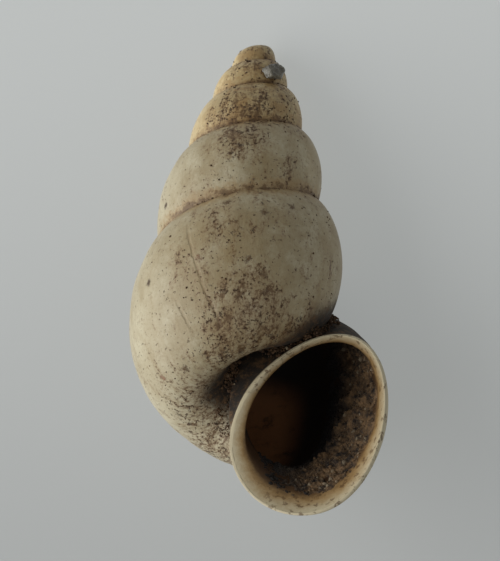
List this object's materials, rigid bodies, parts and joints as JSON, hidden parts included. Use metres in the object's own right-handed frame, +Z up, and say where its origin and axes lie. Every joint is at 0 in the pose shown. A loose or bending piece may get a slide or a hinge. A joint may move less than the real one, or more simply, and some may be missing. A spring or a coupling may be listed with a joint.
{
  "type": "spire snail shell",
  "caption": "Tall, right-handed shell of a small freshwater snail lying mouth up, with dried silt in its mouth and a stuck sand grain.",
  "frame": {"origin": "under the middle of the lying shell, on the surface that it rests on", "axes": "+Z up, out of the mouth; +Y along the length, towards the apex; +X towards the side that the mouth is on"},
  "size_m": [0.003, 0.0054, 0.0024],
  "materials": {
    "shell": "satin shell, cream-grey with brown stains",
    "silt": "matt dried silt, dark brown",
    "quartz": "glassy grey quartz"
  },
  "bodies": {
    "root": {"shell": "shell", "silt_lining": "silt", "sand_grain": "quartz"}
  },
  "joints": []
}
